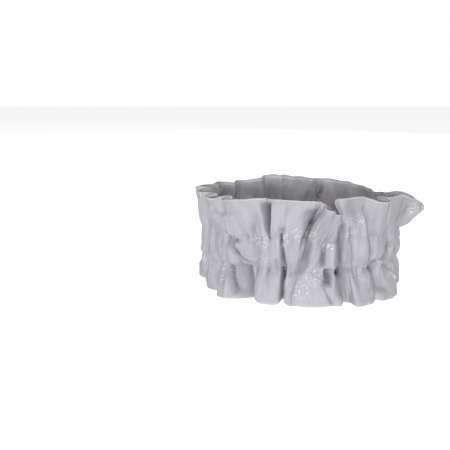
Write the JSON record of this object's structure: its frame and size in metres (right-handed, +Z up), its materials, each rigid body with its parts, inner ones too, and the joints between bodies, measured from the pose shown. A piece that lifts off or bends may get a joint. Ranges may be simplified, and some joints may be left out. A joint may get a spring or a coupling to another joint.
{
  "type": "sleeve garter",
  "caption": "Ruffled satin arm band gathered on an elastic loop, worn round the upper arm to hold a shirt sleeve up.",
  "frame": {"origin": "middle of the garter's outer box, on the surface it stands on", "axes": "+Z up along the axis of the loop, -Y toward the side shown in the picture, +X toward the flap of the upper ruffle"},
  "size_m": [0.1078, 0.106, 0.0472],
  "materials": {
    "satin": "silver-grey jacquard satin",
    "elastic": "white woven elastic"
  },
  "bodies": {
    "root": {"upper_ruffle": "satin", "lower_ruffle": "satin", "casing_face": "satin", "casing_back": "satin", "elastic_band": "elastic"}
  },
  "joints": []
}
